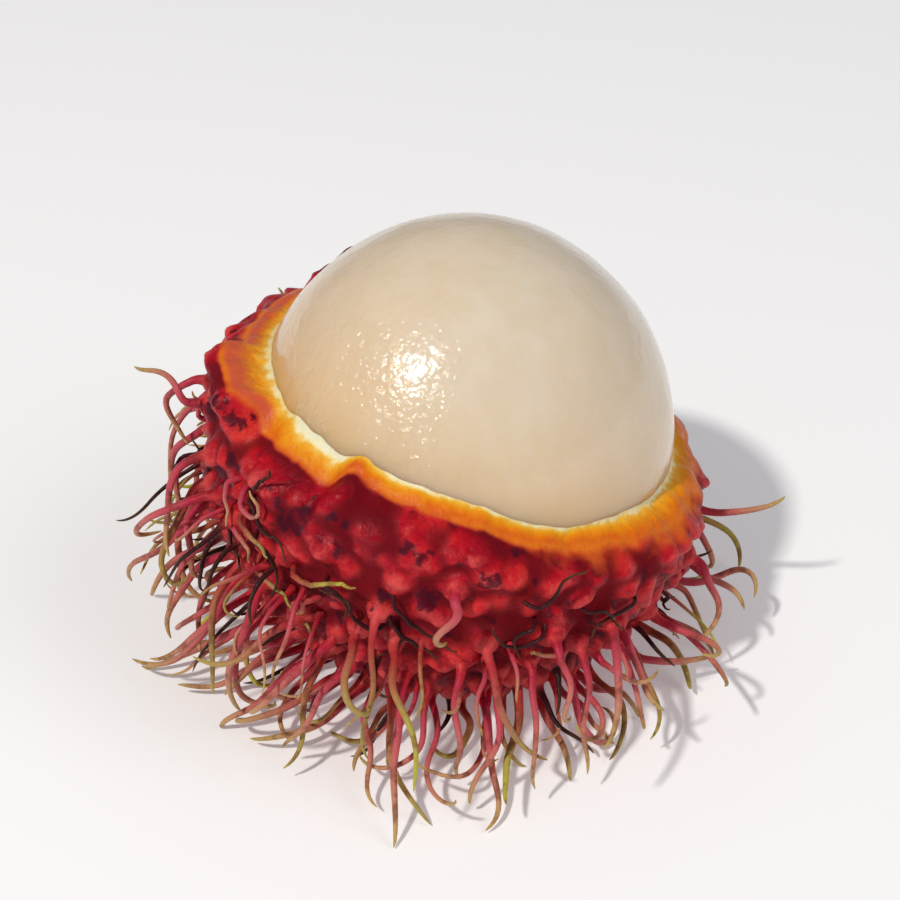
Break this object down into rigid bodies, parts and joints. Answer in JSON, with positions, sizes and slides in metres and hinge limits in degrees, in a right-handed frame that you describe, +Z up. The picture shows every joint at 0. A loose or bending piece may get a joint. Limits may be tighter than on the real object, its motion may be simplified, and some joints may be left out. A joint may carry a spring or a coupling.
{
  "type": "rambutan",
  "caption": "Half-peeled rambutan: spiny red rind cup with its top removed, holding a pale translucent ball of flesh.",
  "frame": {"origin": "centre of the small flat spot under the rind, on the surface that the fruit rests on", "axes": "+Z up, +X to the side that the fruit leans to and where the cut is lowest, -Y towards the viewer"},
  "size_m": [0.0587, 0.0601, 0.0391],
  "materials": {
    "rind": "waxy crimson skin, orange patches, spines with olive-yellow tips",
    "aril": "wet, translucent, cream white"
  },
  "bodies": {
    "root": {"rind": "rind", "aril": "aril"}
  },
  "joints": []
}
